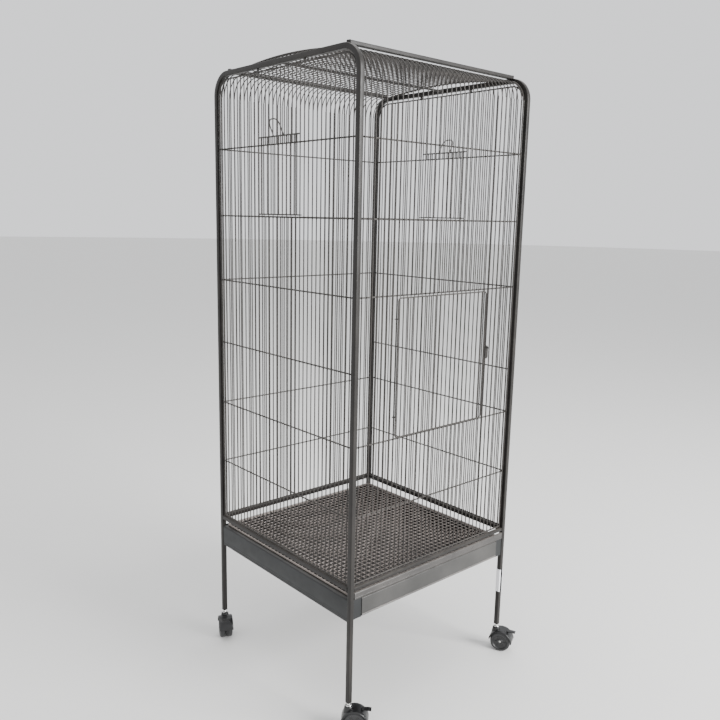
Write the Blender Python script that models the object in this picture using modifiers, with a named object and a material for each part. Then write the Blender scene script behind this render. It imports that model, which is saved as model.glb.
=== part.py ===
"""Square wire bird cage on a rolling stand.

Two bent square tubes stand side by side as the left and right frames, and their legs run
down to four twin-wheel casters. Welded wire panels close the walls and the roof. A hinged
door fills the front, a lift-up feeder door each side, and a grate and a tray slide out of
the base. Metres, +Z up, the front faces -Y, and the origin is on the floor in the middle.
"""

import math

import bmesh
import bpy
from mathutils import Matrix, Vector

# Frame
POST_SPACING = 0.462
FRAME_TOP = 1.295
TUBE = 0.010
TUBE_CHAMFER = 0.0010
BEND_RADIUS = 0.043
BEND_STEPS = 8
TOP_BAR_HEIGHT = 0.0075
TOP_BAR_OVERHANG = 0.0035
ROOF_ROD_RADIUS = 0.0025
ROOF_ROD_DROP = 0.007

# Wire panels
RAIL_HEIGHT = 0.301
LEVELS = 7
LEFT_BARS = (1, 2, 3, 4, 5, 6)
RIGHT_BARS = (1, 2, 3, 4.31, 5, 6)
WIRE_PITCH = 0.0127
WIRE_RADIUS = 0.00115
BAR_RADIUS = 0.0015
BORDER_RADIUS = 0.0020
BAR_CLEARANCE = 0.0001
BORDER_GAP = 0.0020
PANEL_DROP = 0.0041
WALL_INSET = 0.0025
TAB_WIDTH = 0.006
TAB_THICKNESS = 0.0024
TAB_PITCHES = 6
ROOF_CROWN = 0.014
ROOF_CROWN_STEPS = 2
ROOF_BEND_STEPS = 2
ROOF_WELD = 0.0005

# Doors
FEEDER_PITCHES = 5
FEEDER_LEVELS = (1, 2)
DOOR_STANDOFF = 0.0045
FEEDER_END = 0.0025
FEEDER_RISE = 0.014
MAIN_PITCHES = 10
MAIN_LEVELS = (3, 5)
DOOR_ROD_RADIUS = 0.0017
DOOR_CLEARANCE = 0.0045
RING_RADIUS = 0.0034
RING_WIRE = 0.0009
RING_INSET = 0.040
LOOP_WIDTH = 0.033
LOOP_HEIGHT = 0.030
LOOP_LEAN = 0.014
LOOP_RADIUS = 0.0012
LATCH_LENGTH = 0.028
LATCH_WIDTH = 0.009
LATCH_THICKNESS = 0.0018
LATCH_STANDOFF = 0.0076
LATCH_PIN_RADIUS = 0.0020
LATCH_HEAD_RADIUS = 0.0036
LATCH_TAIL = 0.007

# Base
SHEET = 0.0012
FRONT_BAR_HEIGHT = 0.007
FRONT_BAR_DEPTH = 0.008
SKIRT_TOP = 0.022
SKIRT_BOTTOM = 0.069
RUNNER_DROP = 0.0625
LEDGE_WIDTH = 0.018
RUNNER_WIDTH = 0.042
RETURN_WIDTH = 0.020
GRATE_ROD_RADIUS = 0.0020
GRATE_WIRE_RADIUS = 0.0012
GRATE_PITCH = 0.0254
GRATE_RAIL_TOP = 0.007
GRATE_RAIL_THICKNESS = 0.0015
GRATE_SHELF = 0.004
TRAY_LIP = 0.0020
TRAY_HEADROOM = 0.007
TRAY_DRAFT = 0.0002
BRACKET_WIDTH = 0.005
LABEL_HEIGHT = 0.055
LABEL_DROP = 0.100
LABEL_THICKNESS = 0.0004

# Casters
WHEEL_RADIUS = 0.0235
WHEEL_WIDTH = 0.012
WHEEL_GAP = 0.0050
HUB_RADIUS = 0.015
AXLE_RADIUS = 0.0030
TRAIL = 0.013
HOOD_GAP = 0.0016
HOOD_WALL = 0.0024
HOOD_START = 8.0
HOOD_END = 172.0
HOOD_BOSS_RADIUS = 0.008
STEM_SHOWN = 0.0075
HOOD_RISE = 0.0035
STEM_RADIUS = 0.0038
COLLAR_RADIUS = 0.0065
COLLAR_HEIGHT = 0.0025
BRAKE_WIDTH = 0.012
BRAKE_LENGTH = 0.017
BRAKE_THICKNESS = 0.0024
CASTER_HEADINGS = {
    "front_left": -45.0,
    "front_right": -65.0,
    "rear_left": -115.0,
    "rear_right": 65.0,
}

GAP = 0.0003
ROUND_SIDES = 20

HALF = POST_SPACING / 2
CLEAR = HALF - TUBE / 2
EDGE = CLEAR - BORDER_GAP - BORDER_RADIUS
WALL = HALF - WALL_INSET
TOP_WIRE = FRAME_TOP - TUBE - PANEL_DROP - BORDER_RADIUS
BOTTOM_WIRE = RAIL_HEIGHT + TUBE / 2 + GAP + BORDER_RADIUS
LEVEL_PITCH = (TOP_WIRE - RAIL_HEIGHT) / LEVELS
BEND_START = FRAME_TOP - TUBE / 2 - BEND_RADIUS
WIRES_EACH_SIDE = int((EDGE - BORDER_RADIUS - WIRE_RADIUS) / WIRE_PITCH)
BAR_OFFSET = WIRE_RADIUS + BAR_RADIUS + BAR_CLEARANCE
RUNNER_TOP = RAIL_HEIGHT - RUNNER_DROP + SHEET
TRAY_HALF = CLEAR - RETURN_WIDTH - 2 * GAP
HOOD_TOP = 2 * WHEEL_RADIUS + HOOD_GAP + HOOD_WALL + HOOD_RISE
LEG_BOTTOM = HOOD_TOP + STEM_SHOWN

CAGE = "bird_cage_on_stand"


def level(index):
    """Height of a cross bar, counted down from the top wire."""
    return TOP_WIRE - index * LEVEL_PITCH


# ---------------------------------------------------------------- shapes


def to_mesh_object(source):
    """Turns a curve or a modified object into a plain closed mesh object."""
    depsgraph = bpy.context.evaluated_depsgraph_get()
    mesh = bpy.data.meshes.new_from_object(source.evaluated_get(depsgraph))
    made = bpy.data.objects.new("piece", mesh)
    made.matrix_world = source.matrix_world
    bpy.context.scene.collection.objects.link(made)
    bpy.data.objects.remove(source)
    joined = bmesh.new()
    joined.from_mesh(mesh)
    bmesh.ops.remove_doubles(joined, verts=joined.verts, dist=1e-6)
    bmesh.ops.recalc_face_normals(joined, faces=joined.faces)
    joined.to_mesh(mesh)
    joined.free()
    return made


def mesh_object(build):
    """A mesh object from a function that fills a bmesh."""
    shape = bmesh.new()
    build(shape)
    mesh = bpy.data.meshes.new("piece")
    shape.to_mesh(mesh)
    shape.free()
    made = bpy.data.objects.new("piece", mesh)
    bpy.context.scene.collection.objects.link(made)
    return made


def rods(runs, radius, sides=6, closed=False):
    """Round rods along lists of points, all in one mesh; rings when closed."""
    curve = bpy.data.curves.new("rods", "CURVE")
    curve.dimensions = "3D"
    curve.twist_mode = "MINIMUM"
    curve.bevel_depth = radius
    curve.bevel_resolution = (sides - 4) // 2
    curve.use_fill_caps = not closed
    for run in runs:
        spline = curve.splines.new("POLY")
        spline.points.add(len(run) - 1)
        for point, place in zip(spline.points, run):
            point.co = (*place, 1.0)
        spline.use_cyclic_u = closed
    made = bpy.data.objects.new("rods", curve)
    bpy.context.scene.collection.objects.link(made)
    return to_mesh_object(made)


def block(low, high, chamfer=0.0):
    """A box between two corners, its edges chamfered where asked."""
    size = [b - a for a, b in zip(low, high)]
    centre = [(a + b) / 2 for a, b in zip(low, high)]

    def build(shape):
        bmesh.ops.create_cube(shape, size=1.0)
        bmesh.ops.scale(shape, vec=size, verts=shape.verts)
        if chamfer:
            bmesh.ops.bevel(shape, geom=shape.edges, offset=chamfer, segments=1, affect="EDGES")
        bmesh.ops.translate(shape, vec=centre, verts=shape.verts)

    return mesh_object(build)


def drum(start, end, radius, sides=ROUND_SIDES):
    """A cylinder between two points."""
    start = Vector(start)
    axis = Vector(end) - start
    turn = Vector((0, 0, 1)).rotation_difference(axis.normalized()).to_matrix().to_4x4()
    place = Matrix.Translation(start + axis / 2) @ turn

    def build(shape):
        bmesh.ops.create_cone(
            shape,
            cap_ends=True,
            segments=sides,
            radius1=radius,
            radius2=radius,
            depth=axis.length,
            matrix=place,
        )

    return mesh_object(build)


def plate(outlines, thickness, place):
    """Flat outlines in their own XY plane, filled and thickened evenly, then placed."""
    curve = bpy.data.curves.new("plate", "CURVE")
    curve.dimensions = "2D"
    curve.fill_mode = "BOTH"
    curve.extrude = thickness / 2
    for outline in outlines:
        spline = curve.splines.new("POLY")
        spline.points.add(len(outline) - 1)
        for point, (x, y) in zip(spline.points, outline):
            point.co = (x, y, 0.0, 1.0)
        spline.use_cyclic_u = True
    made = bpy.data.objects.new("plate", curve)
    made.matrix_world = place
    bpy.context.scene.collection.objects.link(made)
    bpy.context.view_layer.update()
    return to_mesh_object(made)


def turned(profile, sides):
    """A ring or disc turned about its own Z axis from a closed (radius, height) profile."""

    def build(shape):
        corners = [shape.verts.new((radius, 0.0, height)) for radius, height in profile]
        for first, second in zip(corners, corners[1:] + corners[:1]):
            shape.edges.new((first, second))

    made = mesh_object(build)
    screw = made.modifiers.new("turn", "SCREW")
    screw.axis = "Z"
    screw.steps = sides
    screw.render_steps = sides
    screw.use_merge_vertices = True
    screw.merge_threshold = 1e-5
    return to_mesh_object(made)


def chamfered(piece, width):
    """The piece with its sharp edges cut back."""
    cut = piece.modifiers.new("chamfer", "BEVEL")
    cut.width = width
    cut.segments = 1
    cut.limit_method = "ANGLE"
    cut.angle_limit = math.radians(40)
    return to_mesh_object(piece)


def welded(pieces, operation="UNION"):
    """The first piece with the others joined to it, or cut from it."""
    body, *others = pieces
    for other in others:
        join = body.modifiers.new("weld", "BOOLEAN")
        join.operation = operation
        join.solver = "EXACT"
        join.object = other
    bpy.context.view_layer.update()
    made = to_mesh_object(body)
    for other in others:
        bpy.data.objects.remove(other)
    return made


def arc(centre, radius, start, end, steps):
    """Points along an arc in a plane, angles in degrees."""
    angles = [math.radians(start + (end - start) * step / steps) for step in range(steps + 1)]
    return [(centre[0] + radius * math.cos(a), centre[1] + radius * math.sin(a)) for a in angles]


# ---------------------------------------------------------------- finishes


def finish(name, colour, roughness, metallic):
    material = bpy.data.materials.new(name)
    material.use_nodes = True
    shader = material.node_tree.nodes["Principled BSDF"]
    shader.inputs["Base Color"].default_value = (*colour, 1.0)
    shader.inputs["Roughness"].default_value = roughness
    shader.inputs["Metallic"].default_value = metallic
    return material


def keep(piece, name, look, parent=None, origin=(0.0, 0.0, 0.0), turn=0.0, smooth=False):
    """Names a finished piece, puts its origin where it belongs and files it with the cage."""
    colour, roughness, metallic = look
    bpy.context.view_layer.update()
    origin = Vector(origin)
    piece.data.transform(Matrix.Translation(-origin) @ piece.matrix_world)
    piece.matrix_world = Matrix.Identity(4)
    piece.location = Matrix.Rotation(turn, 3, "Z") @ origin
    piece.rotation_euler = (0.0, 0.0, turn)
    piece.name = name
    piece.data.name = name
    piece.data.materials.clear()
    piece.data.materials.append(finish(name, colour, roughness, metallic))
    if smooth:
        piece.data.shade_smooth()
        piece.data.set_sharp_from_angle(angle=math.radians(35))
    if parent:
        piece.parent = parent
    for collection in list(piece.users_collection):
        collection.objects.unlink(piece)
    bpy.data.collections[CAGE].objects.link(piece)
    return piece


BLACK_COAT = ((0.022, 0.021, 0.020), 0.42, 0.35)
GREY_SHEET = ((0.085, 0.088, 0.085), 0.45, 0.35)
PLASTIC = ((0.018, 0.018, 0.019), 0.38, 0.0)
TREAD = ((0.030, 0.030, 0.031), 0.60, 0.0)
STEEL = ((0.62, 0.62, 0.60), 0.25, 1.0)
PAPER = ((0.86, 0.86, 0.88), 0.80, 0.0)


# ---------------------------------------------------------------- frame


def bent_frame(name, side):
    """One tube bent into a tall arch: two legs and posts and the top bar between them."""
    outer = BEND_RADIUS + TUBE / 2
    inner = BEND_RADIUS - TUBE / 2
    centre = HALF - BEND_RADIUS
    outline = [(HALF + TUBE / 2, LEG_BOTTOM)]
    outline += arc((centre, BEND_START), outer, 0, 90, BEND_STEPS)
    outline += arc((-centre, BEND_START), outer, 90, 180, BEND_STEPS)
    outline += [(-HALF - TUBE / 2, LEG_BOTTOM), (-HALF + TUBE / 2, LEG_BOTTOM)]
    outline += arc((-centre, BEND_START), inner, 180, 90, BEND_STEPS)
    outline += arc((centre, BEND_START), inner, 90, 0, BEND_STEPS)
    outline += [(HALF - TUBE / 2, LEG_BOTTOM)]
    upright = Matrix.Rotation(math.radians(90), 4, "Z") @ Matrix.Rotation(math.radians(90), 4, "X")
    tube = plate([outline], TUBE, Matrix.Translation((side * HALF, 0, 0)) @ upright)
    keep(chamfered(tube, TUBE_CHAMFER), name, BLACK_COAT)


def straight_bar(name, low, high, chamfer=TUBE_CHAMFER):
    centre = [(a + b) / 2 for a, b in zip(low, high)]
    keep(block(low, high, chamfer), name, BLACK_COAT, origin=centre)


def make_frame():
    bent_frame("left_side_frame", -1)
    bent_frame("right_side_frame", 1)
    reach = CLEAR - GAP
    half_tube = TUBE / 2
    top = FRAME_TOP + half_tube
    under = top - TOP_BAR_HEIGHT
    outer = HALF - BEND_RADIUS + TOP_BAR_OVERHANG + half_tube
    straight_bar("front_top_bar", (-reach, -outer, under), (reach, TUBE - outer, top))
    straight_bar("rear_top_bar", (-reach, outer - TUBE, under), (reach, outer, top))
    low = RAIL_HEIGHT - half_tube
    high = RAIL_HEIGHT + half_tube
    straight_bar("left_lower_rail", (-HALF - half_tube, -reach, low), (-HALF + half_tube, reach, high))
    straight_bar("right_lower_rail", (HALF - half_tube, -reach, low), (HALF + half_tube, reach, high))
    straight_bar("rear_lower_rail", (-reach, HALF - half_tube, low), (reach, HALF + half_tube, high))
    bar_top = RAIL_HEIGHT + FRONT_BAR_HEIGHT / 2
    straight_bar(
        "front_lower_bar",
        (-reach, -HALF - FRONT_BAR_DEPTH / 2, bar_top - FRONT_BAR_HEIGHT),
        (reach, -HALF + FRONT_BAR_DEPTH / 2, bar_top),
    )
    height = FRAME_TOP - ROOF_ROD_DROP
    rod = drum((-reach, 0, height), (reach, 0, height), ROOF_ROD_RADIUS, 10)
    keep(rod, "roof_cross_rod", BLACK_COAT, origin=(0, 0, height), smooth=True)


# ---------------------------------------------------------------- panels
# A panel is drawn standing at y = 0 with its outside towards -Y, then turned to its wall.


def cut_at_doorway(index, top, doorway):
    """The stretches of one upright wire, above and below a doorway that it would cross."""
    across = index * WIRE_PITCH
    if doorway is None or abs(index) >= doorway["pitches"]:
        return [[(across, 0, BOTTOM_WIRE), (across, 0, top)]]
    upper, lower = (level(step) for step in doorway["levels"])
    return [
        [(across, 0, BOTTOM_WIRE), (across, 0, lower + BAR_RADIUS)],
        [(across, 0, upper - BAR_RADIUS), (across, 0, top)],
    ]


def arched_height(across):
    """Height of a side panel's border over a point, following its rounded corners."""
    radius = TOP_WIRE - BEND_START
    past = abs(across) - (EDGE - radius)
    if past <= 0:
        return TOP_WIRE
    return BEND_START + math.sqrt(radius * radius - past * past)


def cross_bars(steps):
    heights = [level(step) for step in steps]
    runs = [[(-EDGE, BAR_OFFSET, height), (EDGE, BAR_OFFSET, height)] for height in heights]
    return rods(runs, BAR_RADIUS)


def side_panel(name, turn, steps):
    """A flat panel inside a bent frame, with the doorway of the feeder door."""
    radius = TOP_WIRE - BEND_START
    border = [(-EDGE, 0, BOTTOM_WIRE)]
    border += [(x, 0, z) for x, z in arc((-EDGE + radius, BEND_START), radius, 180, 90, 5)]
    border += [(x, 0, z) for x, z in arc((EDGE - radius, BEND_START), radius, 90, 0, 5)]
    border += [(EDGE, 0, BOTTOM_WIRE)]
    frame = rods([border], BORDER_RADIUS, closed=True)
    doorway = {"pitches": FEEDER_PITCHES, "levels": FEEDER_LEVELS}
    runs = []
    for index in range(-WIRES_EACH_SIDE, WIRES_EACH_SIDE + 1):
        runs += cut_at_doorway(index, arched_height(index * WIRE_PITCH), doorway)
    wires = rods(runs, WIRE_RADIUS, 4)
    pieces = [frame, wires, cross_bars(steps)]
    for side in (-1, 1):
        middle = side * TAB_PITCHES * WIRE_PITCH
        low = (middle - TAB_WIDTH / 2, -TAB_THICKNESS / 2, TOP_WIRE)
        high = (middle + TAB_WIDTH / 2, TAB_THICKNESS / 2, FRAME_TOP - TUBE - GAP)
        pieces.append(block(low, high))
    panel = welded(pieces)
    panel.location.y = -HALF
    keep(panel, name, BLACK_COAT, origin=(0, -HALF, 0), turn=turn)


def upright_panel(name, turn, doorway, extras=()):
    """A front or rear panel: uprights between a bottom wire and the shoulder of the roof."""
    top = BEND_START - GAP - BORDER_RADIUS
    frame = rods(
        [[(-EDGE, 0, BOTTOM_WIRE), (EDGE, 0, BOTTOM_WIRE), (EDGE, 0, top), (-EDGE, 0, top)]],
        BORDER_RADIUS,
        closed=True,
    )
    runs = []
    for index in range(-WIRES_EACH_SIDE, WIRES_EACH_SIDE + 1):
        runs += cut_at_doorway(index, top, doorway)
    upper, lower = MAIN_LEVELS
    levels = [step for step in range(1, LEVELS) if not upper < step < lower]
    pieces = [frame, rods(runs, WIRE_RADIUS, 4), cross_bars(levels), *extras]
    panel = welded(pieces)
    panel.location.y = -WALL
    keep(panel, name, BLACK_COAT, origin=(0, -WALL, 0), turn=turn)


def latch_height():
    upper, lower = MAIN_LEVELS
    return (level(upper) + level(lower)) / 2


def latch_pivot():
    """The tab welded between two uprights beside the doorway, with its headed pin."""
    inner = MAIN_PITCHES * WIRE_PITCH
    outer = inner + WIRE_PITCH
    across = (inner + outer) / 2
    height = latch_height()
    face = -LATCH_STANDOFF - LATCH_THICKNESS / 2
    tab = block(
        (inner, -WIRE_RADIUS / 2, height - LATCH_WIDTH / 2),
        (outer, WIRE_RADIUS / 2, height + LATCH_WIDTH / 2),
    )
    pin = drum((across, 0, height), (across, face - 2 * GAP, height), LATCH_PIN_RADIUS, 12)
    head = drum((across, face - GAP, height), (across, face - GAP - SHEET, height), LATCH_HEAD_RADIUS, 12)
    return [tab, pin, head]


def roof_path(across, drop=0.0):
    """One wire over the roof, from shoulder to shoulder, lowered by drop."""
    flat = WALL - BEND_RADIUS
    radius = BEND_RADIUS - drop
    front = arc((-flat, BEND_START), radius, 180, 90, ROOF_BEND_STEPS)
    rear = arc((flat, BEND_START), radius, 90, 0, ROOF_BEND_STEPS)
    crown = []
    for step in range(1, 2 * ROOF_CROWN_STEPS):
        along = -1 + step / ROOF_CROWN_STEPS
        crown.append((along * flat, roof_height(along * flat) - drop))
    return [(across, y, z) for y, z in front + crown + rear]


def roof_height(along):
    """Height of the roof wires over a point, rising gently to the middle."""
    flat = WALL - BEND_RADIUS
    share = min(1.0, abs(along) / flat)
    return BEND_START + BEND_RADIUS + ROOF_CROWN * (1 - share * share)


def roof_panel():
    """The bent panel over the cage, its cross bars under the long wires."""
    edges = rods([roof_path(-EDGE), roof_path(EDGE)], BORDER_RADIUS, 4)
    runs = [roof_path(i * WIRE_PITCH) for i in range(-WIRES_EACH_SIDE, WIRES_EACH_SIDE + 1)]
    flat = WALL - BEND_RADIUS
    reach = CLEAR - 2 * GAP
    bars = []
    for step in range(1 - ROOF_CROWN_STEPS, ROOF_CROWN_STEPS):
        along = step * flat / ROOF_CROWN_STEPS
        offset = BAR_OFFSET + BAR_CLEARANCE if step else WIRE_RADIUS + BAR_RADIUS - ROOF_WELD
        height = roof_height(along) - offset
        bars.append([(-reach, along, height), (reach, along, height)])
    pieces = [rods(runs, WIRE_RADIUS, 4), edges, rods(bars, BAR_RADIUS, 4)]
    keep(welded(pieces), "roof_panel", BLACK_COAT, origin=(0, 0, BEND_START))


def make_panels():
    side_panel("left_side_panel", math.radians(-90), LEFT_BARS)
    side_panel("right_side_panel", math.radians(90), RIGHT_BARS)
    doorway = {"pitches": MAIN_PITCHES, "levels": MAIN_LEVELS}
    upright_panel("front_panel", 0.0, doorway, latch_pivot())
    upright_panel("rear_panel", math.radians(180), None)
    roof_panel()


# ---------------------------------------------------------------- doors


def ring(across, along, height):
    """A wire ring lying flat around an upright."""
    points = arc((across, along), RING_RADIUS, 0, 330, 11)
    return [(x, y, height) for x, y in points]


def main_door():
    """The front door, resting outside the doorway and swinging on rings round an upright."""
    side = MAIN_PITCHES * WIRE_PITCH
    upper, lower = (level(step) for step in MAIN_LEVELS)
    top = upper - DOOR_CLEARANCE
    bottom = lower + DOOR_CLEARANCE
    face = -DOOR_STANDOFF
    corners = [(-side, bottom), (side, bottom), (side, top), (-side, top)]
    frame = rods([[(x, face, z) for x, z in corners]], DOOR_ROD_RADIUS, closed=True)
    spread = range(1 - MAIN_PITCHES, MAIN_PITCHES)
    runs = [[(i * WIRE_PITCH, face, bottom), (i * WIRE_PITCH, face, top)] for i in spread]
    hinges = [ring(-side, 0, bottom + RING_INSET), ring(-side, 0, top - RING_INSET)]
    rings = rods(hinges, RING_WIRE, 4, closed=True)
    door = welded([frame, rods(runs, WIRE_RADIUS, 4), rings])
    door.location.y = -WALL
    keep(door, "main_door", BLACK_COAT, origin=(-side, -WALL, 0))


def door_latch():
    """A turn button on the pin beside the front door, hanging upright when released."""
    across = (MAIN_PITCHES + 0.5) * WIRE_PITCH
    radius = LATCH_WIDTH / 2
    reach = LATCH_LENGTH - LATCH_TAIL - radius
    outline = arc((0, reach), radius, 0, 180, 6) + arc((0, radius - LATCH_TAIL), radius, 180, 360, 6)
    hole = arc((0, 0), LATCH_PIN_RADIUS + GAP, 0, 330, 11)
    face = Matrix.Translation((across, -WALL - LATCH_STANDOFF, latch_height()))
    button = plate([outline, hole], LATCH_THICKNESS, face @ Matrix.Rotation(math.radians(90), 4, "X"))
    grip = block(
        (across - radius / 2, -WALL - LATCH_STANDOFF - 0.007, latch_height() + reach - SHEET),
        (across + radius / 2, -WALL - LATCH_STANDOFF, latch_height() + reach + SHEET),
    )
    pivot = (across, -WALL, latch_height())
    keep(welded([button, grip]), "door_latch", BLACK_COAT, origin=pivot)


def feeder_door(name, turn):
    """A lift-up door outside a side panel, its bottom rings sliding on two uprights."""
    guide = FEEDER_PITCHES * WIRE_PITCH
    upper, lower = (level(step) for step in FEEDER_LEVELS)
    bottom = lower + BAR_RADIUS + RING_WIRE + DOOR_CLEARANCE / 2
    top = upper + FEEDER_RISE
    face = -DOOR_STANDOFF
    end = guide + FEEDER_END
    side = guide - DOOR_CLEARANCE
    rails = rods([[(-end, face, height), (end, face, height)] for height in (bottom, top)], BAR_RADIUS)
    stiles = [[(x, face, bottom), (x, face, top)] for x in (-side, side)]
    spread = range(1 - FEEDER_PITCHES, FEEDER_PITCHES)
    wires = [[(i * WIRE_PITCH, face, bottom), (i * WIRE_PITCH, face, top)] for i in spread]
    rings = rods([ring(x, 0, bottom) for x in (-guide, guide)], RING_WIRE, 4, closed=True)
    half = LOOP_WIDTH / 2
    bend = [(0.86, 0.86), (0.55, 1.0)]
    leg = [(half, face, top), (half, face - LOOP_LEAN * 0.62, top + LOOP_HEIGHT * 0.62)]
    crest = [(half * x, face - LOOP_LEAN * z, top + LOOP_HEIGHT * z) for x, z in bend]
    right = leg + crest
    loop = right + [(-x, y, z) for x, y, z in reversed(right)]
    handle = rods([loop], LOOP_RADIUS)
    door = welded([rails, rods(stiles, BAR_RADIUS), rods(wires, WIRE_RADIUS, 4), rings, handle])
    door.location.y = -HALF
    keep(door, name, BLACK_COAT, origin=(0, -HALF + face, bottom), turn=turn)


def make_doors():
    main_door()
    door_latch()
    feeder_door("left_feeder_door", math.radians(-90))
    feeder_door("right_feeder_door", math.radians(90))


# ---------------------------------------------------------------- base


def side_skirt(name, side):
    """Folded sheet along one side: face, ledge for the grate, runner for the tray, front return."""
    outer = side * (HALF + TUBE / 2 - SHEET)

    def folded(inner, low_y, high_y, low_z, high_z):
        near, far = sorted((outer, inner))
        return block((near, low_y, low_z), (far, high_y, high_z))

    reach = CLEAR - GAP
    top = RAIL_HEIGHT - SKIRT_TOP
    face = folded(outer - side * SHEET, -reach, reach, RAIL_HEIGHT - SKIRT_BOTTOM, top)
    ledge = folded(outer - side * LEDGE_WIDTH, -reach, reach, top - SHEET, top)
    runner = folded(outer - side * RUNNER_WIDTH, -reach, reach, RUNNER_TOP - SHEET, RUNNER_TOP)
    front = -HALF - TUBE / 2 + SHEET
    near, far = sorted((side * reach, side * (reach - RETURN_WIDTH)))
    returned = block((near, front - SHEET, RUNNER_TOP - SHEET), (far, front, top))
    near, far = sorted((side * reach, outer - side * RUNNER_WIDTH))
    tongue = block((near, front - SHEET / 2, RUNNER_TOP - SHEET), (far, -reach + SHEET, RUNNER_TOP))
    skirt = welded([face, ledge, runner, returned, tongue])
    keep(skirt, name, GREY_SHEET, origin=(side * HALF, 0, top))


def rear_skirt():
    reach = CLEAR - GAP
    top = RAIL_HEIGHT - SKIRT_TOP
    outer = HALF + TUBE / 2 - SHEET
    face = block((-reach, outer - SHEET, RAIL_HEIGHT - SKIRT_BOTTOM), (reach, outer, top))
    hem = block((-reach, outer - TUBE / 2, top - SHEET), (reach, outer, top))
    keep(welded([face, hem]), "rear_skirt", GREY_SHEET, origin=(0, HALF, top))


def grate():
    """The pull-out floor: a rod frame, wires across it and a folded rail at the front."""
    reach = CLEAR - BORDER_GAP / 2
    top = RAIL_HEIGHT - SKIRT_TOP
    height = top + GAP + GRATE_ROD_RADIUS
    side = reach - GRATE_ROD_RADIUS
    front = -HALF - TUBE / 2
    rear = CLEAR - 2 * GRATE_ROD_RADIUS
    near = front + GRATE_SHELF
    corners = [(-side, near, height), (side, near, height), (side, rear, height), (-side, rear, height)]
    frame = rods([corners], GRATE_ROD_RADIUS, closed=True)
    count = int((side - GRATE_ROD_RADIUS) / GRATE_PITCH)
    places = [i * GRATE_PITCH for i in range(-count, count + 1)]
    runs = [[(x, near, height), (x, rear, height)] for x in places]
    rail = block((-reach, front, top), (reach, front + GRATE_RAIL_THICKNESS, RAIL_HEIGHT - GRATE_RAIL_TOP))
    shelf = block((-reach, front, top), (reach, near, top + GRATE_RAIL_THICKNESS))
    floor = welded([frame, rods(runs, GRATE_WIRE_RADIUS, 4), rail, shelf])
    keep(floor, "floor_grate", BLACK_COAT, origin=(0, 0, height))


def flare(thing, above, outward):
    """Moves every corner above a height away from the piece's middle in X and Y."""
    middle = sum((corner.co for corner in thing.data.vertices), Vector()) / len(thing.data.vertices)
    for corner in thing.data.vertices:
        if corner.co.z > above + GAP:
            corner.co.x += math.copysign(outward, corner.co.x - middle.x)
            corner.co.y += math.copysign(outward, corner.co.y - middle.y)


def tray():
    """A sheet pan on the runners, its front panel closing the opening between the returns."""
    front = -HALF - TUBE / 2
    rear = CLEAR - 2 * GRATE_ROD_RADIUS
    bottom = RUNNER_TOP + GAP
    rim = RAIL_HEIGHT - SKIRT_TOP - TRAY_HEADROOM
    half = TRAY_HALF - SHEET
    pan = block((-half, front + SHEET / 2, bottom), (half, rear, rim))
    floor = bottom + SHEET
    hollow = block((-half + SHEET, front + 1.5 * SHEET, floor), (half - SHEET, rear - SHEET, rim + SHEET))
    flare(hollow, floor, TRAY_DRAFT)
    shell = welded([pan, hollow], "DIFFERENCE")
    panel_top = RAIL_HEIGHT - SKIRT_TOP - SHEET
    panel = block((-TRAY_HALF, front, bottom), (TRAY_HALF, front + SHEET, panel_top))
    lip_height = bottom + TRAY_LIP
    lip = rods([[(-TRAY_HALF, front, lip_height), (TRAY_HALF, front, lip_height)]], TRAY_LIP, 8)
    keep(welded([shell, panel, lip]), "tray", GREY_SHEET, origin=(0, front, bottom))


def bracket(name, side):
    """A small block that ties a skirt's front return back to its post."""
    top = RAIL_HEIGHT - SKIRT_TOP
    outer = side * (CLEAR - GAP)
    near, far = sorted((outer, outer - side * BRACKET_WIDTH))
    front = -HALF - TUBE / 2 + SHEET + GAP
    low = (near, front, RUNNER_TOP + GAP)
    high = (far, front + BRACKET_WIDTH, top - SHEET - GAP)
    piece = block(low, high, GAP)
    keep(piece, name, BLACK_COAT, origin=[(a + b) / 2 for a, b in zip(low, high)])


def label():
    """A blank paper sleeve around the front right leg."""
    inner = TUBE / 2 + GAP
    outer = inner + LABEL_THICKNESS
    top = RAIL_HEIGHT - LABEL_DROP
    sleeve = block((-outer, -outer, top - LABEL_HEIGHT), (outer, outer, top))
    core = block((-inner, -inner, top - 2 * LABEL_HEIGHT), (inner, inner, top + LABEL_HEIGHT))
    paper = welded([sleeve, core], "DIFFERENCE")
    paper.location = (HALF, -HALF, 0)
    keep(paper, "leg_label", PAPER, origin=(HALF, -HALF, top))


def make_base():
    side_skirt("left_skirt", -1)
    side_skirt("right_skirt", 1)
    rear_skirt()
    grate()
    tray()
    bracket("left_front_bracket", -1)
    bracket("right_front_bracket", 1)
    label()


# ---------------------------------------------------------------- casters
# A caster is drawn under its own origin on the floor, trailing towards +X, with its axle
# along Y, and an empty on the swivel axis carries it to its leg and turns it.


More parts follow.
